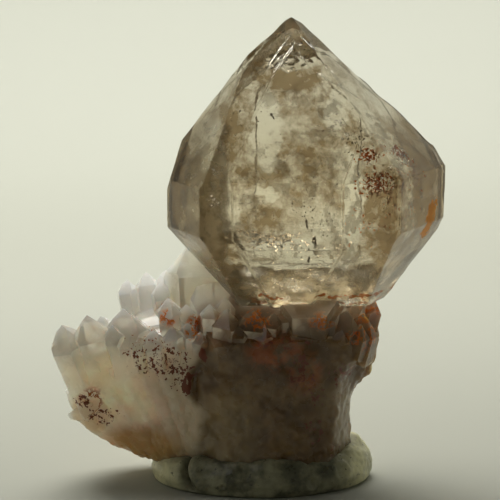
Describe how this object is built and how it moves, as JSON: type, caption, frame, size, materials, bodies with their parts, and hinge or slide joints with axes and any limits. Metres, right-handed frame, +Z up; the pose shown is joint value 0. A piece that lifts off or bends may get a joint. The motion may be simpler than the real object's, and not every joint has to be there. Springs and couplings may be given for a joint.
{
  "type": "sceptre quartz specimen",
  "caption": "Sceptre quartz: a broad clear smoky crystal head seated on a cluster of pale lilac quartz crystals, held upright by a wad of grey-green putty.",
  "frame": {"origin": "middle of the flat underside of the putty foot, on the surface that the specimen stands on", "axes": "+Z up along the head crystal's long axis, the specimen's front faces -Y, +X to the right seen from the front"},
  "size_m": [0.0492, 0.0206, 0.0584],
  "materials": {
    "smoky_quartz": "clear and glossy, smoky brown, with veils",
    "lilac_quartz": "translucent and milky, with rust-brown specks",
    "mineral_putty": "soft satin, finger-pressed"
  },
  "bodies": {
    "root": {"sceptre_head": "smoky_quartz", "quartz_cluster": "lilac_quartz", "putty_foot": "mineral_putty"}
  },
  "joints": []
}
